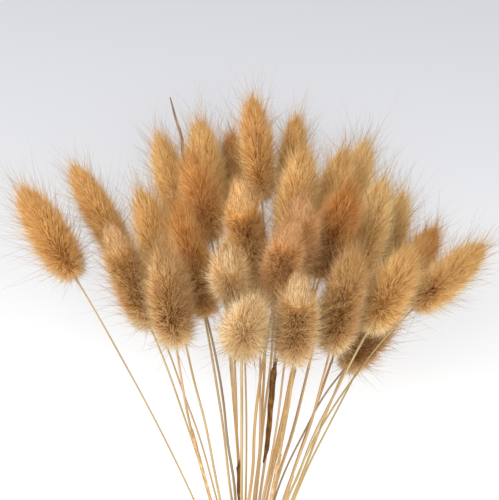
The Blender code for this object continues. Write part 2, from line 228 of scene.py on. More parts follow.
# what each head shows: its fur, how pale its body, tip and base fringe are, its girth, how far its hairs stand off
headLooks = {
    1: ("russet", 0.48, 0.56, 0.60, 0.90, 1.0), 2: ("golden", 0.76, 0.80, 0.72, 0.94, 0.95),
    3: ("golden", 0.50, 0.60, 0.60, 0.84, 0.85), 4: ("golden", 0.56, 0.66, 0.66, 0.90, 0.9),
    5: ("golden", 0.60, 0.70, 0.70, 0.92, 0.9), 6: ("golden", 0.74, 0.80, 0.72, 0.96, 1.0),
    7: ("golden", 0.58, 0.70, 0.70, 1.0, 0.95), 8: ("russet", 0.54, 0.62, 0.66, 0.90, 1.0),
    9: ("golden", 0.50, 0.60, 0.70, 0.82, 0.9), 10: ("golden", 0.48, 0.58, 0.60, 0.88, 0.8),
    11: ("golden", 0.52, 0.66, 0.80, 0.96, 1.0), 12: ("golden", 0.78, 0.82, 0.74, 0.96, 1.0),
    13: ("golden", 0.56, 0.68, 0.70, 0.98, 0.95), 14: ("umber", 0.34, 0.46, 0.66, 0.82, 1.0),
    15: ("russet", 0.50, 0.60, 0.62, 0.96, 1.0), 16: ("golden", 0.64, 0.70, 0.74, 0.84, 1.0),
    17: ("russet", 0.48, 0.58, 0.80, 0.96, 1.0), 18: ("golden", 0.36, 0.60, 0.60, 0.97, 1.0),
    19: ("russet", 0.34, 0.48, 0.56, 0.98, 1.0), 20: ("golden", 0.48, 0.54, 0.60, 0.94, 0.82),
    21: ("blush", 0.38, 0.42, 0.60, 0.98, 1.0), 22: ("umber", 0.44, 0.52, 0.76, 0.89, 1.0),
    23: ("golden", 0.60, 0.68, 0.90, 0.96, 1.0), 24: ("umber", 0.36, 0.72, 0.88, 0.98, 1.0),
    25: ("umber", 0.48, 0.88, 0.62, 0.78, 0.9), 26: ("blush", 0.34, 0.46, 0.60, 0.87, 1.0),
    27: ("umber", 0.80, 0.86, 0.88, 0.96, 0.95), 28: ("umber", 0.42, 0.62, 0.78, 0.95, 1.0),
    29: ("umber", 0.42, 0.88, 0.84, 0.94, 1.0),
}
# root and tip colours of the hairs, from a head's darkest hairs to its palest; the darker roots are painted shade
# deep in the fur
furHexes = {
    "golden": (("#422004", "#80460B", "#C6812A", "#F6CE8C"), ("#9C5410", "#DE9436", "#F8C670", "#FDE3A8")),
    "russet": (("#401B02", "#7E3D07", "#B86A1E", "#E8AE60"), ("#92490A", "#D07D28", "#EAAC5A", "#F6D49A")),
    "blush": (("#482406", "#8A4C12", "#CA8434", "#F2C484"), ("#A0591A", "#DE9748", "#F4C080", "#FBDEB2")),
    "umber": (("#3C2005", "#724110", "#B47830", "#E4BC80"), ("#8C5418", "#C8893C", "#E8B96E", "#F8E0B2")),
}
awnHexes = ("#A4702E", "#AA9160")
# painted light: the pale colours that the tips fade out to, for light shining through them
tipLightHexes = {"golden": "#F8E8CC", "russet": "#ECCCA0", "blush": "#F6E2C8", "umber": "#F6E6CC"}


def plumeHair(name):
    # dried plume hair of the grass: silky, hollow and half see-through, grown in tufts, with hardly any gloss or
    # sheen;
    # its colour has painted shade, dark deep in the fur, and painted light, glowing pale at the tips
    made, tree = newMaterial(name)
    places = (0.0, 0.34, 0.64, 0.92)  # the awns take the last of the scale
    # across the map: darkest to palest hair, up it: root to tip
    spot = addNode(tree, "ShaderNodeUVMap", {"uv_map": "OFBake"})
    parts = addNode(tree, "ShaderNodeSeparateXYZ", links={0: spot.outputs[0]})
    low, high = (addNode(tree, "ShaderNodeValToRGB", {"stops": (*zip(places, hexes), (0.93, awn), (1.0, awn))},
                         {0: parts.outputs["X"]}) for hexes, awn in zip(furHexes[name], awnHexes))
    # painted shade: each hair goes from its tip colour to its darker root colour deep in the fur
    climb = addNode(tree, "ShaderNodeMapRange", {"From Min": 0.12, "From Max": 0.72}, {"Value": parts.outputs["Y"]})
    # painted light: near its tip each hair fades to a pale colour, for light shining through it
    tipLight = addNode(tree, "ShaderNodeMapRange", {"From Min": 0.56, "From Max": 1.1}, {"Value": parts.outputs["Y"]})
    fibre = addNode(tree, "ShaderNodeMix", {"data_type": "RGBA"},
                    {0: climb.outputs[0], 6: low.outputs[0], 7: high.outputs[0]})
    colour = addNode(tree, "ShaderNodeMix", {"data_type": "RGBA", 7: linear(tipLightHexes[name])},
                     {0: tipLight.outputs[0], 6: fibre.outputs[2]})
    gloss = addNode(tree, "ShaderNodeMapRange", {"To Min": 0.95, "To Max": 0.6}, {"Value": parts.outputs["Y"]})
    shader = addNode(tree, "ShaderNodeBsdfPrincipled",
                     {"IOR": 1.5, "Specular IOR Level": 0.12, "Sheen Weight": 0.03, "Sheen Roughness": 0.4},
                     {"Base Color": colour.outputs[2], "Roughness": gloss.outputs[0]})
    finishMaterial(tree, shader)
    return made


def egg(angles):
    # height and radius along a blunt egg of length 1 and radius 1
    lower = angles < 0
    heights = np.where(lower, fur["widest"] * (1 + np.sin(angles)),
                       fur["widest"] + (1 - fur["widest"]) * np.sin(angles))
    return heights, np.cos(angles) ** np.where(lower, fur["baseBlunt"], fur["tipBlunt"])


# where to look on a solid head and its stem: the corners round the neck and on the stem's end, how near the axis
# the tip stands, how far it stands past the egg, and the ring of valleys between tufts that shows the girth
solidHead = {"neckCorners": 8, "stemCorners": 6, "onAxis": 0.3 * mm, "tipPast": 2 * mm,
             "ringHeight": 0.3907, "ringSlack": 0.012, "ringShare": 0.76}


def headForm(number):
    # the ring of corners round the neck gives the base and the axis
    points = nodePoints(f"head_{number:02d}")
    stem = nodePoints(f"stem_{number:02d}")
    middle = points.mean(0)
    seat = stem[np.argsort(np.linalg.norm(stem - middle, axis=1))[:solidHead["stemCorners"]]].mean(0)
    neck = points[np.argsort(np.linalg.norm(points - seat, axis=1))[:solidHead["neckCorners"]]]
    base = neck.mean(0)
    axis = np.linalg.svd(neck - base)[2][2]
    axis *= np.sign((middle - base) @ axis)
    along = (points - base) @ axis
    out = np.linalg.norm(points - base - along[:, None] * axis, axis=1)
    length = along[out < solidHead["onAxis"]].max() - solidHead["tipPast"]
    widest = np.abs(along / length - solidHead["ringHeight"]) < solidHead["ringSlack"]
    colouring, body, tip, fringe, girth, standOff = headLooks[number]
    return {"number": number, "base": base, "axis": axis, "length": length, "fur": colouring,
            "tones": (body, tip, fringe), "girth": girth, "standOff": standOff,
            "radius": float(np.median(out[widest])) / solidHead["ringShare"] * girth}


def modelCore():
    # one smooth bud under all the fur, length 1 and radius 1, standing on the origin
    bpy.ops.object.select_all(action="DESELECT")
    bpy.ops.mesh.primitive_uv_sphere_add(segments=fur["coreSegments"], ring_count=fur["coreRings"], radius=1)
    core = bpy.context.object
    mesh = core.data
    tall = np.linspace(-math.pi / 2, math.pi / 2, fur["coreRings"] + 1)
    heights, radii = egg(tall)
    rings = {round(math.sin(angle), 3): index for index, angle in enumerate(tall)}
    which = [rings[round(vertex.co.z, 3)] for vertex in mesh.vertices]
    bpy.ops.object.mode_set(mode="EDIT")
    bpy.ops.mesh.select_mode(type="VERT")
    for ring, (height, radius) in enumerate(zip(heights, radii)):
        bpy.ops.mesh.select_all(action="DESELECT")
        bpy.ops.object.mode_set(mode="OBJECT")
        for vertex, own in zip(mesh.vertices, which):
            vertex.select = own == ring
        bpy.ops.object.mode_set(mode="EDIT")
        wide = float(radius / max(math.cos(tall[ring]), 1e-6)) if 0 < ring < fur["coreRings"] else 1.0
        bpy.ops.transform.resize(value=(wide, wide, 1), center_override=(0, 0, 0))
        bpy.ops.transform.translate(value=(0, 0, float(height - math.sin(tall[ring]))))
    bpy.ops.mesh.select_all(action="SELECT")
    bpy.ops.mesh.quads_convert_to_tris()
    bpy.ops.object.mode_set(mode="OBJECT")
    points = np.array([vertex.co for vertex in mesh.vertices])
    # the quads are cut in another order each run, so the triangles are sorted
    faces = np.array([np.roll(face.vertices, -np.argmin(face.vertices)) for face in mesh.polygons])
    faces = faces[np.lexsort(faces.T[::-1])]
    bpy.data.objects.remove(core)
    return points, faces


def growStrands(paths, widths, tones, reaches, draw):
    # three-sided strands that close in a point: corners, faces, and their place on the colour map
    sideShade = 0.008  # the sides of a strand differ this much in tone
    count, steps = paths.shape[:2]
    heading = unit(paths[:, -1] - paths[:, 0])
    across = unit(np.cross(heading, unit(draw.normal(size=(count, 3)))))
    other = np.cross(heading, across)
    turns = np.radians([0, 120, 240])
    spokes = across[:, None] * np.cos(turns)[:, None] + other[:, None] * np.sin(turns)[:, None]
    rings = paths[:, :-1, None] + widths[:, :, None, None] * spokes[:, None]
    corners = np.concatenate((rings.reshape(count, -1, 3), paths[:, -1:]), axis=1)
    sides = []
    for ring in range(steps - 1):
        for side in range(3):
            here, beside = 3 * ring + side, 3 * ring + (side + 1) % 3
            if ring < steps - 2:
                sides += [(here, beside, beside + 3), (here, beside + 3, here + 3)]
            else:
                sides.append((here, beside, 3 * (steps - 1)))
    own = corners.shape[1]
    faces = np.array(sides)[None] + own * np.arange(count)[:, None, None]
    shades = np.append(np.tile([-sideShade, 0.0, sideShade], steps - 1), 0.0)
    reaches = np.asarray(reaches)
    up = np.concatenate((np.repeat(reaches[..., :-1], 3, axis=-1), reaches[..., -1:]), axis=-1)
    places = np.stack(np.broadcast_arrays(tones[:, None] + shades, up), axis=-1)
    return corners.reshape(-1, 3), faces.reshape(-1, 3), places.reshape(-1, 2)


def rootsOnBud(form, count, draw):
    # spots spread evenly over the bud, with the way out of it and the way up it
    angles = np.radians(np.linspace(-fur["poles"], fur["poles"], fur["eggSteps"]))
    heights, radii = egg(angles)
    tall, wide = form["length"] * fur["coreTall"], form["radius"] * fur["coreShare"]
    climb = np.gradient(heights * tall, angles)
    widen = np.gradient(radii * wide, angles)
    share = np.cumsum(np.hypot(climb, widen) * radii)
    at = np.interp((np.arange(count) + draw.uniform(0, 1, count)) / count, share / share[-1], angles)
    around = np.arange(count) * fur["spiral"] + draw.uniform(-fur["jitter"], fur["jitter"], count)
    outward = np.stack((np.cos(around), np.sin(around), np.zeros(count)), axis=1)
    height = np.interp(at, angles, heights)
    radius = np.interp(at, angles, radii) * wide
    slope = unit(np.stack((np.interp(at, angles, widen), np.interp(at, angles, climb)), axis=1))
    roots = outward * radius[:, None]
    roots[:, 2] = form["length"] * fur["coreFoot"] + height * tall
    upward = outward * slope[:, :1]
    upward[:, 2] = slope[:, 1]
    normal = outward * slope[:, 1:]
    normal[:, 2] = -slope[:, 0]
    closed = np.clip((height - fur["coneStart"]) / fur["coneBlend"], 0, 1) * (form["number"] in fur["coned"])
    roots[:, :2] *= 1 - (1 - fur["coneWaist"]) * closed[:, None]
    return roots, normal, upward, height, closed


def hairPaths(form, draw):
    # root and tip of every hair, its height up the head, its tuft, and how far it belongs to a closed tip
    roots, normal, upward, height, closed = rootsOnBud(form, fur["hairs"], draw)
    crown = np.clip((height - fur["crownStart"]) / fur["crownBlend"], 0, 1) * (1 - closed)
    crown *= form["number"] in fur["coned"]
    standOff = np.where(height < fur["steadyFoot"], 1, form["standOff"])
    lean = (np.interp(height, *fur["lean"]) * standOff + fur["crownLean"] * crown) * (1 - closed)
    lean += fur["coneLean"] * closed
    lean = np.radians(lean + draw.normal(0, fur["leanSpread"], len(roots)) * (1 - fur["coneSteady"] * closed))
    ways = unit(normal * np.sin(lean)[:, None] + upward * np.cos(lean)[:, None]
                + draw.normal(0, fur["stray"], roots.shape) * (1 - fur["coneStraight"] * closed[:, None]))
    shortest, longest = fur["hairLength"]
    length = shortest + (longest - shortest) * draw.beta(*fur["lengthSpread"], len(roots))
    length *= np.interp(height, *fur["reach"]) * form["girth"]
    length *= (1 - (1 - fur["coneHair"]) * closed) * (1 - fur["crownShort"] * crown)
    tips = roots + ways * length[:, None]
    # hairs of one spikelet draw together towards a common tip
    middles = draw.choice(len(roots), fur["tufts"], replace=False)
    nearest = np.argmin(np.linalg.norm(roots[:, None] - roots[middles][None], axis=2), axis=1)
    pull = fur["pull"] * np.interp(height, *fur["pulls"])
    gathered = tips[middles][nearest] + ways * fur["pullPast"]
    tips += (gathered - tips) * pull[:, None]
    return np.stack((roots, tips), axis=1), height, nearest, closed


def hairTones(form, height, nearest, closed, draw):
    body, tip, fringe = form["tones"]
    tones = np.interp(height, fur["toneHeights"], (fringe, fringe, body, body, tip, tip))
    tones += (tip - tones) * closed
    tones += draw.normal(0, fur["tuftShade"], fur["tufts"])[nearest] + draw.normal(0, fur["hairShade"], len(height))
    return np.clip(tones, *fur["toneRange"])


def longPaths(form, kind, draw):
    # long hairs bend up towards the tip of their head
    long = fur["long"]
    roots, normal, upward, height, closed = rootsOnBud(form, kind["count"], draw)
    lean = np.radians(np.interp(height, *long["lean"]) + draw.normal(0, long["leanSpread"], len(roots)))
    lean *= 1 - long["closedLean"] * closed
    ways = unit(normal * np.sin(lean)[:, None] + upward * np.cos(lean)[:, None]
                + draw.normal(0, long["stray"], roots.shape))
    length = draw.uniform(*kind["length"], len(roots)) * np.interp(height, *long["reach"]) * form["girth"]
    length *= 1 - long["closedShort"] * closed
    bend = (upward * kind["bend"] + draw.normal(0, kind["bend"], roots.shape)) * length[:, None]
    steps = np.linspace(0, 1, kind["steps"])
    return roots[:, None] + ways[:, None] * (length[:, None] * steps)[:, :, None] \
        + bend[:, None] * (steps ** 2)[None, :, None], height


def growHairs(form, draw):
    paths, height, nearest, closed = hairPaths(form, draw)
    tones = hairTones(form, height, nearest, closed, draw)
    widths = fur["hairWidth"] * draw.uniform(*fur["widthSpread"], (len(paths), 1))
    # the base fringe and a closed tip are pale down to their roots
    start = np.maximum(np.interp(height, *fur["starts"]), fur["closedStart"] * closed)
    start = np.maximum(start, fur["paleStart"] * (form["number"] in fur["pale"]))
    return growStrands(paths, widths, tones, np.stack((start, np.ones(len(start))), axis=1), draw)


def growWisps(form, draw):
    wisp = fur["wisps"]
    paths, height = longPaths(form, wisp, draw)
    tones = np.interp(height, wisp["toneHeights"], form["tones"][::-1])
    tones = np.clip(tones + draw.normal(0, wisp["shade"], wisp["count"]), *wisp["toneRange"])
    taper = np.linspace(1, wisp["taper"], wisp["steps"] - 1)
    taper = taper * draw.uniform(*fur["long"]["widths"], (wisp["count"], 1))
    return growStrands(paths, wisp["width"] * taper, tones, np.linspace(*wisp["places"], wisp["steps"]), draw)


def growAwns(form, draw):
    awn = fur["awns"]
    paths = longPaths(form, awn, draw)[0]
    taper = np.linspace(1, awn["taper"], awn["steps"] - 1)
    taper = taper * draw.uniform(*fur["long"]["widths"], (awn["count"], 1))
    return growStrands(paths, awn["width"] * taper, draw.uniform(*awn["tones"], awn["count"]),
                       np.linspace(*awn["places"], awn["steps"]), draw)


def dressBud(form, core, draw):
    # the bud at this head's size, coloured as painted shade deep in the fur, paler at the base fringe and a closed
    # tip
    shape, sides = core
    wide = form["radius"] * fur["coreShare"]
    points = shape * (wide, wide, form["length"] * fur["coreTall"])
    points = points + (0, 0, form["length"] * fur["coreFoot"]) + draw.normal(0, fur["coreRough"], points.shape)
    places = np.stack((draw.uniform(*fur["coreTones"], len(points)), draw.uniform(*fur["coreDepths"], len(points))),
                      axis=1)
    places[shape[:, 2] < fur["fringeTop"], 1] = fur["fringeDepth"]
    if form["number"] in fur["pale"]:
        places[:, 1] = fur["paleDepth"]
    if form["number"] in fur["coned"]:
        upper = shape[:, 2] > fur["coneStart"]
        points[upper, :2] *= fur["coneWaist"] - fur["closedInset"]
        places[upper] = (form["tones"][1], fur["closedDepth"])
    return points, sides, places


def placeHead(corners, form):
    # turned to its stem, its tip bent over, pressed flat where it lies, and its topmost long hairs drooping
    turn = np.array(Vector(form["axis"]).to_track_quat("Z", "Y").to_matrix())
    over = np.clip(corners[:, 2:] / form["length"] - fur["nodStart"], 0, 1) / (1 - fur["nodStart"])
    corners = corners @ turn.T + form["base"]
    corners[:, :2] += over ** fur["nodCurve"] * fur["nods"].get(form["number"], (0, 0))
    corners[:, 2] = np.maximum(corners[:, 2], fur["floorGap"])
    corners[:, 2] -= fur["droop"] * np.maximum(corners[:, 2] - fur["ceiling"], 0)
    return corners


def strandPiece(name, corners, faces, places, material):
    # a mesh of strands, too many to model by hand
    mesh = bpy.data.meshes.new(name)
    mesh.from_pydata(corners, [], faces.tolist())
    mesh.uv_layers.new(name="OFBake").uv.foreach_set("vector", places[faces.ravel()].astype(np.float32).ravel())
    mesh.materials.append(material)
    piece = bpy.data.objects.new(name, mesh)
    bpy.context.scene.collection.objects.link(piece)
    return piece


def makePlume(form, core):
    draw = np.random.default_rng(fur["seed"] + form["number"])
    hairs, wisps, awns = growHairs(form, draw), growWisps(form, draw), growAwns(form, draw)
    corners, faces, places = [], [], []
    for own, sides, spots in (dressBud(form, core, draw), hairs, wisps, awns):
        faces.append(sides + sum(len(done) for done in corners))
        corners.append(own)
        places.append(spots)
    corners, faces, places = (np.concatenate(found) for found in (corners, faces, places))
    name = f"plume_{form['number']:02d}"
    piece = strandPiece(name, placeHead(corners, form), faces, places, furs[form["fur"]])
    piece.data.polygons.foreach_set("use_smooth", np.ones(len(faces), bool))
    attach(piece, "root")
    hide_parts(f"head_{form['number']:02d}")


furs = {name: plumeHair(name) for name in furHexes}
core = modelCore()
forms = [headForm(number) for number in range(1, stalkCount + 1)]
for form in forms:
    makePlume(form, core)
print("heads grown:", len(forms))


# ---- stems
straw = {
    "thickness": 0.7 * mm, "sunk": 4.5 * mm, "sides": 2, "smooth": 4, "points": 13, "seed": 3,
    "ringGap": 2.5 * mm,  # the rings of a solid stem stand further apart than this
    "wander": 0.35 * mm, "held": 20 * mm,  # how far a stem strays, and how far the tie holds it straight
    "sway": {13: (2.3 * mm, 0.075, 0.05)},  # how far, where above the tie, over what length
    # girth from cut end to head: thicker up to where an old leaf still wraps the stem, and how soon it thins there
    "girths": (1.2, 1.12, 0.95, 0.75), "wrapped": (0.35, 0.75), "thins": 0.06,
    "variation": (0.78, 1.12), "slim": {20: 0.68, 8: 0.66, 9: 0.7, 22: 0.75, 16: 0.72, 1: 0.75},
    "finish": {20: "oliveStraw", 8: "oliveStraw", 22: "oliveStraw", 16: "oliveStraw", 4: "paleStraw",
               15: "paleStraw", 25: "goldStraw", 7: "pinkStraw", 3: "pinkStraw", 29: "goldStraw",
               14: "greyStraw", 17: "greyStraw"},
}
strawHexes = {
    "goldStraw": ("#866034", "#B48E58", "#D8BC8C"),
    "pinkStraw": ("#8C6A46", "#B6946A", "#D8C09C"),
    "paleStraw": ("#8E7446", "#BCA272", "#DECCA2"),
    "oliveStraw": ("#8A7240", "#B09664", "#D2BE8E"),
    "greyStraw": ("#62503A", "#8E785A", "#B49E7C"),
}


def dryStraw(name):
    # dried grass stalk: a thin hollow tube with a hard, faintly waxy skin and fine ribs along it,
    # so it has a soft long highlight and streaks that run its whole length
    made, tree = newMaterial(name)
    dark, plain, pale = strawHexes[name]
    spot = addNode(tree, "ShaderNodeUVMap", {"uv_map": "OFBake"})
    blotch = addNode(tree, "ShaderNodeMapping", {"Scale": (1.5, 26, 1)}, {0: spot.outputs[0]})
    # real ribs are too fine to show, so these are drawn coarser
    ribs = addNode(tree, "ShaderNodeMapping", {"Scale": (9, 6, 1)}, {0: spot.outputs[0]})
    patches = addNode(tree, "ShaderNodeTexNoise", {"Scale": 1.0, "Detail": 3.0}, {0: blotch.outputs[0]})
    lines = addNode(tree, "ShaderNodeTexNoise", {"Scale": 1.0, "Detail": 2.0}, {0: ribs.outputs[0]})
    both = addNode(tree, "ShaderNodeMix", {"Factor": 0.5}, {2: patches.outputs[0], 3: lines.outputs[0]})
    tint = addNode(tree, "ShaderNodeValToRGB", {"stops": ((0.34, dark), (0.5, plain), (0.66, pale))},
                   {0: both.outputs[0]})
    gloss = addNode(tree, "ShaderNodeMapRange", {"To Min": 0.42, "To Max": 0.65}, {"Value": lines.outputs[0]})
    bump = addNode(tree, "ShaderNodeBump", {"Strength": 0.4, "Distance": 0.0001}, {"Height": lines.outputs[0]})
    shader = addNode(tree, "ShaderNodeBsdfPrincipled", {"IOR": 1.5, "Specular IOR Level": 0.4},
                     {"Base Color": tint.outputs[0], "Roughness": gloss.outputs[0], "Normal": bump.outputs[0]})
    finishMaterial(tree, shader)
    return made


def stemLine(name):
    # the middle of each ring of the solid stem, in order up the bunch
    points = nodePoints(name)
    points = points[np.argsort(points[:, 1])]
    cuts = np.flatnonzero(np.diff(points[:, 1]) > straw["ringGap"]) + 1
    return np.array([ring.mean(0) for ring in np.split(points, cuts)])


def restOnFloor(piece):
    for vertex in piece.data.vertices:
        vertex.co.z = max(vertex.co.z, restGap)


def drawTube(name, points, radii, thickness, sides, smooth, caps=True, section=None):
    # a bevelled curve through the points, made a mesh with its own map
    bpy.ops.object.select_all(action="DESELECT")
    bpy.ops.curve.primitive_bezier_curve_add()
    tube = bpy.context.object
    spline = tube.data.splines[0]
    spline.bezier_points.add(len(points) - 2)
    spline.resolution_u = smooth
    for point, place, radius in zip(spline.bezier_points, points, radii):
        point.co = place
        point.radius = radius
        point.handle_left_type = point.handle_right_type = "AUTO"
    tube.data.bevel_depth = thickness
    tube.data.bevel_resolution = sides
    tube.data.use_fill_caps = caps
    if section:
        tube.data.bevel_mode, tube.data.bevel_object, tube.data.twist_mode = "OBJECT", section, "Z_UP"
    selectOnly(tube)
    bpy.ops.object.convert(target="MESH")
    tube = bpy.context.object
    tube.name = tube.data.name = name
    tube.data.uv_layers[0].name = "OFBake"
    bpy.ops.object.shade_smooth_by_angle(angle=math.radians(50))
    return tube


def wander(line, radii, sway, draw):
    # a dried stem isn't straight: it strays a little, but not in the tie or the head
    lengths = np.append(0, np.cumsum(np.linalg.norm(np.diff(line, axis=0), axis=1)))
    even = np.linspace(0, lengths[-1], straw["points"])
    made = np.stack([np.interp(even, lengths, line[:, side]) for side in range(3)], axis=1)
    free = np.clip(np.abs(made[:, 1] - tieMiddle.y) / straw["held"] - 0.5, 0, 1)
    free[[0, -1, -2]] = 0
    made += draw.normal(0, straw["wander"], made.shape) * free[:, None]
    far, place, reach = sway
    made[:, 0] += far * np.exp(-((made[:, 1] - tieMiddle.y - place) / reach) ** 2)
    made[:, 2] = np.maximum(made[:, 2], radii * straw["thickness"] + restGap)
    return made


straws = {name: dryStraw(name) for name in strawHexes}
stemDraw = np.random.default_rng(straw["seed"])
stemLines = {}
for number in range(1, stalkCount + 1):
    line = stemLine(f"stem_{number:02d}")
    line = np.vstack((line, line[-1] + forms[number - 1]["axis"] * straw["sunk"]))  # up into the fur
    girth = straw["slim"].get(number) or stemDraw.uniform(*straw["variation"])
    wrapped = stemDraw.uniform(*straw["wrapped"])
    places = (0, wrapped, wrapped + straw["thins"], 1)
    radii = np.interp(np.linspace(0, 1, straw["points"]), places, straw["girths"]) * girth
    line = wander(line, radii, straw["sway"].get(number, (0, 0, 1)), stemDraw)
    stemLines[number] = line
    piece = drawTube(f"stalk_{number:02d}", line, radii, straw["thickness"], straw["sides"], straw["smooth"])
    restOnFloor(piece)
    finish = straw["finish"].get(number) or list(straws)[int(stemDraw.integers(3))]  # gold, pink or pale
    piece.data.materials.append(straws[finish])
    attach(piece, "root")
    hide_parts(f"stem_{number:02d}")
print("stems drawn:", len(stemLines))


# ---- leaf sheaths: the dry foot of a leaf that still wraps its stem, over the stretch given above the tie
sheaths = {
    "wall": 0.12 * mm, "radius": 0.86 * mm, "sides": 3, "points": 14, "smooth": 4, "opening": 0.55,
    # how steeply its ends are cut, how far it widens towards the blade, and how tight its foot grips
    "slant": 0.3, "cut": 0.8, "flare": (0.85, 1.1), "grip": 0.88,
    # stem, lowest and highest point up from the tie, finish, girth, how far it waves and how much its girth varies
    "wraps": ((13, 0.076, 0.126, "brownSheath", 1.55, 0.1 * mm, 0.12),
              (25, 0.036, 0.078, "brownSheath", 1.0, 0.2 * mm, 0.2),
              (24, 0.052, 0.096, "tanSheath", 1.0, 0, 0.06), (29, 0.040, 0.084, "tanSheath", 1.0, 0, 0.06),
              (7, 0.070, 0.120, "tanSheath", 1.0, 0, 0.05), (12, 0.036, 0.070, "tanSheath", 1.05, 0, 0.06),
              (5, 0.105, 0.152, "tanSheath", 0.95, 0, 0.05)),
}
leafHexes = {
    "brownSheath": ("#382105", "#6A4410", "#9E7028"),
    "tanSheath": ("#94724A", "#C09C6E", "#DEC29A"),
    "brownBlade": ("#54423A", "#846A5A", "#B69A86"),
}


def dryLeaf(name):
    # dead grass leaf: thin papery blade with raised veins along it, matt, with darker spots
    made, tree = newMaterial(name)
    dark, plain, pale = leafHexes[name]
    spot = addNode(tree, "ShaderNodeUVMap", {"uv_map": "OFBake"})
    along = addNode(tree, "ShaderNodeMapping", {"Scale": (14, 3, 1)}, {0: spot.outputs[0]})
    across = addNode(tree, "ShaderNodeMapping", {"Scale": (3, 12, 1)}, {0: spot.outputs[0]})
    veins = addNode(tree, "ShaderNodeTexNoise", {"Scale": 1.0, "Detail": 2.0}, {0: along.outputs[0]})
    stains = addNode(tree, "ShaderNodeTexNoise", {"Scale": 1.0, "Detail": 4.0}, {0: across.outputs[0]})
    both = addNode(tree, "ShaderNodeMix", {"Factor": 0.5}, {2: veins.outputs[0], 3: stains.outputs[0]})
    tint = addNode(tree, "ShaderNodeValToRGB", {"stops": ((0.36, dark), (0.5, plain), (0.64, pale))},
                   {0: both.outputs[0]})
    rough = addNode(tree, "ShaderNodeMapRange", {"To Min": 0.55, "To Max": 0.85}, {"Value": stains.outputs[0]})
    bump = addNode(tree, "ShaderNodeBump", {"Strength": 0.5, "Distance": 0.0001}, {"Height": veins.outputs[0]})
    shader = addNode(tree, "ShaderNodeBsdfPrincipled", {"IOR": 1.5, "Specular IOR Level": 0.3},
                     {"Base Color": tint.outputs[0], "Roughness": rough.outputs[0], "Normal": bump.outputs[0]})
    finishMaterial(tree, shader)
    return made


def wrapSheath(name, line, girth, unevenness, draw):
    # a tube round the stem, cut off slantwise at both ends, opened down one side and given a paper-thin wall
    radii = (1 + draw.uniform(-1, 1, len(line)) * unevenness) * girth
    radii *= np.linspace(*sheaths["flare"], len(line))
    radii[:2] *= sheaths["grip"]
    piece = drawTube(name, line, radii, sheaths["radius"], sheaths["sides"], sheaths["smooth"], caps=False)
    bpy.ops.object.mode_set(mode="EDIT")
    for end, inner, tilt in ((0, 1, 1), (-1, -2, -1)):
        heading = unit(line[end] - line[inner])
        place = line[end] * 0.5 + line[inner] * 0.5
        bpy.ops.mesh.select_all(action="SELECT")
        facing = heading * sheaths["slant"] + np.array((tilt * sheaths["cut"], 0, 0))
        bpy.ops.mesh.bisect(plane_co=place, plane_no=facing, clear_outer=True)
    bpy.ops.mesh.select_mode(type="FACE")
    bpy.ops.mesh.select_all(action="DESELECT")
    bpy.ops.object.mode_set(mode="OBJECT")
    for face in piece.data.polygons:
        face.select = face.normal.z < -sheaths["opening"]
    bpy.ops.object.mode_set(mode="EDIT")
    bpy.ops.mesh.delete(type="FACE")
    bpy.ops.object.mode_set(mode="OBJECT")
    wall = piece.modifiers.new("wall", "SOLIDIFY")
    wall.thickness, wall.offset = sheaths["wall"], -1
    bpy.ops.object.modifier_apply(modifier="wall")
    return piece


leaves = {name: dryLeaf(name) for name in leafHexes}
for number, low, high, finish, girth, waves, unevenness in sheaths["wraps"]:
    draw = np.random.default_rng(number)
    line = stemLines[number]
    rows = tieMiddle.y + np.linspace(low, high, sheaths["points"])
    route = np.stack([np.interp(rows, line[:, 1], line[:, side]) for side in range(3)], axis=1)
    route[:, 0] += draw.uniform(-1, 1, len(rows)) * waves
    piece = wrapSheath(f"sheath_{number:02d}", route, girth, unevenness, draw)
    piece.data.materials.append(leaves[finish])
    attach(piece, "root")
print("sheaths wrapped:", len(sheaths["wraps"]))


# ---- flag leaf, with the folded section of a real blade
blade = {"section": ((-1.0, 0.22), (-0.5, 0.02), (0.0, -0.12), (0.5, 0.02), (1.0, 0.22),
                     (0.97, 0.36), (0.5, 0.17), (0.0, 0.06), (-0.5, 0.17), (-0.97, 0.36)),
         "smooth": 4, "slice": 1.5 * mm,  # a slice this long either way gives the solid's width
         "bend": 2.2 * mm, "bendPlace": 0.151, "bendReach": 12 * mm}


def drawBlade():
    line = stemLine("leaf")
    line[:, 0] += blade["bend"] * np.exp(-((line[:, 1] - blade["bendPlace"]) / blade["bendReach"]) ** 2)
    points = nodePoints("leaf")
    halves = [np.ptp(points[np.abs(points[:, 1] - place[1]) < blade["slice"]][:, 0]) / 2 for place in line]
    bpy.ops.object.select_all(action="DESELECT")
    bpy.ops.curve.primitive_bezier_curve_add()
    section = bpy.context.object
    fold = section.data.splines.new("POLY")
    section.data.splines.remove(section.data.splines[0])
    fold.points.add(len(blade["section"]) - 1)
    for point, (across, up) in zip(fold.points, reversed(blade["section"])):
        point.co = (across * mm, up * mm, 0, 1)
    fold.use_cyclic_u = True
    leaf = drawTube("flag_leaf", line, np.array(halves) / mm, 0, 1, blade["smooth"], section=section)
    bpy.data.objects.remove(section)
    return leaf


piece = drawBlade()
piece.data.materials.append(leaves["brownBlade"])
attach(piece, "root")
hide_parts("leaf")
print("leaf drawn")


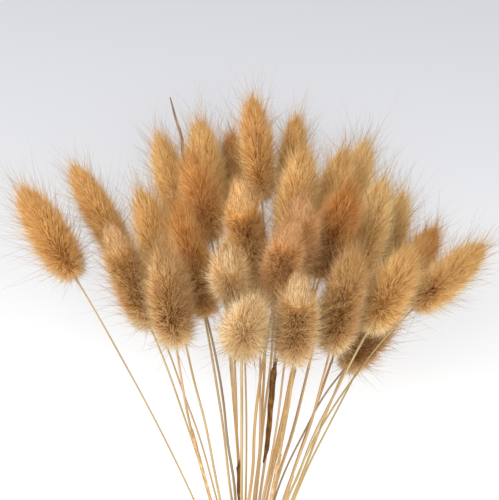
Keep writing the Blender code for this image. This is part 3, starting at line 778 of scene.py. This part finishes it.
# ---- tie: two-ply jute twine wound four times round the stems and knotted on top
twine = {
    # the lay is the length of one twist, and the plies stand off the middle by a share of the width
    "width": 2.0 * mm, "turns": 4, "lay": 5.5 * mm, "ply": 0.56 * mm, "offset": 0.24, "steps": 8,
    "crossing": math.radians(70), "turnPoints": 90, "bite": 0.15 * mm,  # how deep the turns press into the stems
    "frayed": 1.2 * mm, "frayedGirth": 0.55,  # its cut ends thin out
    "hexes": ((0.3, "#7A5630"), (0.5, "#B08A58"), (0.7, "#D6B888")),
    # the knot: how far its loop's ends stay apart, its shape, size and height, and its two short ends in mm
    "knotPoints": 60, "knotGap": 0.5, "knotShape": (0.9, 0.75), "knotSize": 0.85 * mm, "knotLift": 0.9 * mm,
    "knotEnds": (((7.5, 3.0, -1.6), (4.0, 2.4, -0.9)), ((4.2, -2.2, -0.9), (8.5, -3.6, -1.9))),
    # loose fibre ends, lengths in mm
    "fuzz": 260, "fuzzLength": (0.6, 2.6), "fuzzWidth": 0.05 * mm, "fuzzRoot": 0.1 * mm, "fuzzStray": 0.7,
    "fuzzTones": (0.1, 0.9), "seed": 5,
}


def juteTwine():
    # jute twine: coarse brown plant fibre, spun and twisted in two plies, matt and a little hairy,
    # so each ply shows slanting fibre streaks
    made, tree = newMaterial("juteTwine")
    spot = addNode(tree, "ShaderNodeUVMap", {"uv_map": "OFBake"})
    slant = addNode(tree, "ShaderNodeMapping", {"Rotation": (0, 0, 0.5), "Scale": (10, 160, 1)},
                    {0: spot.outputs[0]})
    fibres = addNode(tree, "ShaderNodeTexNoise", {"Scale": 1.0, "Detail": 3.0}, {0: slant.outputs[0]})
    tint = addNode(tree, "ShaderNodeValToRGB", {"stops": twine["hexes"]}, {0: fibres.outputs[0]})
    rough = addNode(tree, "ShaderNodeMapRange", {"To Min": 0.75, "To Max": 0.95}, {"Value": fibres.outputs[0]})
    bump = addNode(tree, "ShaderNodeBump", {"Strength": 0.7, "Distance": 0.0002}, {"Height": fibres.outputs[0]})
    shader = addNode(tree, "ShaderNodeBsdfPrincipled", {"IOR": 1.5, "Specular IOR Level": 0.2},
                     {"Base Color": tint.outputs[0], "Roughness": rough.outputs[0], "Normal": bump.outputs[0]})
    finishMaterial(tree, shader)
    return made


def twistedPair(name, route):
    # two plies that wind round the route, as evenly spaced points
    lengths = np.append(0, np.cumsum(np.linalg.norm(np.diff(route, axis=0), axis=1)))
    count = int(lengths[-1] / twine["lay"] * twine["steps"])
    even = np.linspace(0, lengths[-1], count)
    middle = np.stack([np.interp(even, lengths, route[:, side]) for side in range(3)], axis=1)
    heading = unit(np.gradient(middle, axis=0))
    across = unit(np.cross(heading, (0.0, 1.0, 0.02)))
    other = np.cross(heading, across)
    angle = even / twine["lay"] * math.tau
    frayed, thin = twine["frayed"], twine["frayedGirth"]
    radii = np.interp(even, (0, frayed, lengths[-1] - frayed, lengths[-1]), (thin, 1, 1, thin))
    plies = []
    for half in (0, math.pi):
        side = across * np.cos(angle + half)[:, None] + other * np.sin(angle + half)[:, None]
        plies.append(drawTube(name, middle + side * twine["width"] * twine["offset"], radii, twine["ply"], 1, 2))
    return plies


def woundRoute():
    # level turns that step to the next one on the underside, where the bunch rests
    points = nodePoints("tie") - np.array(tieMiddle)
    radius = np.hypot(points[:, 0], points[:, 2]).min() + twine["width"] / 2 - twine["bite"]
    angle = np.linspace(0, math.tau * twine["turns"], twine["turnPoints"] * twine["turns"])
    turn, part = np.divmod(angle, math.tau)
    step = np.clip((part - math.tau + twine["crossing"]) / twine["crossing"], 0, 1)
    level = (turn + step * step * (3 - 2 * step) - (twine["turns"] - 1) / 2)
    level = np.clip(level, -(twine["turns"] - 1) / 2, (twine["turns"] - 1) / 2) * twine["width"]
    around = angle - math.pi / 2 + twine["crossing"] / 2
    return np.array(tieMiddle) + np.stack((np.cos(around) * radius, level, np.sin(around) * radius), axis=1)


def knotRoute():
    # an overhand knot, a trefoil pulled tight over the turns, its two short ends pointing across the bunch
    angle = np.linspace(twine["knotGap"], math.tau - twine["knotGap"], twine["knotPoints"])
    tall, deep = twine["knotShape"]
    loop = np.stack((np.cos(angle) - 2 * np.cos(2 * angle), (np.sin(angle) + 2 * np.sin(2 * angle)) * tall,
                     -np.sin(3 * angle) * deep), axis=1)
    first, last = (np.array(end) * mm for end in twine["knotEnds"])
    middle = np.array((tieMiddle.x, tieMiddle.y, tieHigh.z + twine["knotLift"]))
    return middle + np.vstack((first, loop * twine["knotSize"], last))


twineFibre = juteTwine()
strands = twistedPair("twine_turns", woundRoute()) + twistedPair("twine_knot", knotRoute())
bpy.ops.object.select_all(action="DESELECT")
for strand in strands:
    strand.select_set(True)
tie = strands[0]
bpy.context.view_layer.objects.active = tie
bpy.ops.object.join()
tie.name = tie.data.name = "twine_tie"
restOnFloor(tie)
tie.data.materials.append(twineFibre)
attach(tie, "root")
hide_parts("tie")

# loose fibre ends that stand off the twine
fuzzDraw = np.random.default_rng(twine["seed"])
sources = np.array([(*vertex.co, *vertex.normal) for vertex in tie.data.vertices])
picked = sources[fuzzDraw.choice(len(sources), twine["fuzz"], replace=False)]
ways = unit(picked[:, 3:] + fuzzDraw.normal(0, twine["fuzzStray"], (twine["fuzz"], 3)))
fuzzLengths = fuzzDraw.uniform(*twine["fuzzLength"], (twine["fuzz"], 1)) * mm
fuzzPaths = np.stack((picked[:, :3] - ways * twine["fuzzRoot"], picked[:, :3] + ways * fuzzLengths), axis=1)
fuzzPaths[:, :, 2] = np.maximum(fuzzPaths[:, :, 2], 2 * restGap)
fuzzStrands = growStrands(fuzzPaths, np.full((twine["fuzz"], 1), twine["fuzzWidth"]),
                          fuzzDraw.uniform(*twine["fuzzTones"], twine["fuzz"]), twine["fuzzTones"], fuzzDraw)
fuzz = strandPiece("twine_fuzz", *fuzzStrands, twineFibre)
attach(fuzz, "root")
print("tie wound:", len(tie.data.polygons), "faces")


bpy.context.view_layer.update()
shownFaces = sum(len(piece.data.polygons) for piece in bpy.data.objects
                 if piece.type == "MESH" and not piece.hide_render)
print("size written, faces shown:", shownFaces)
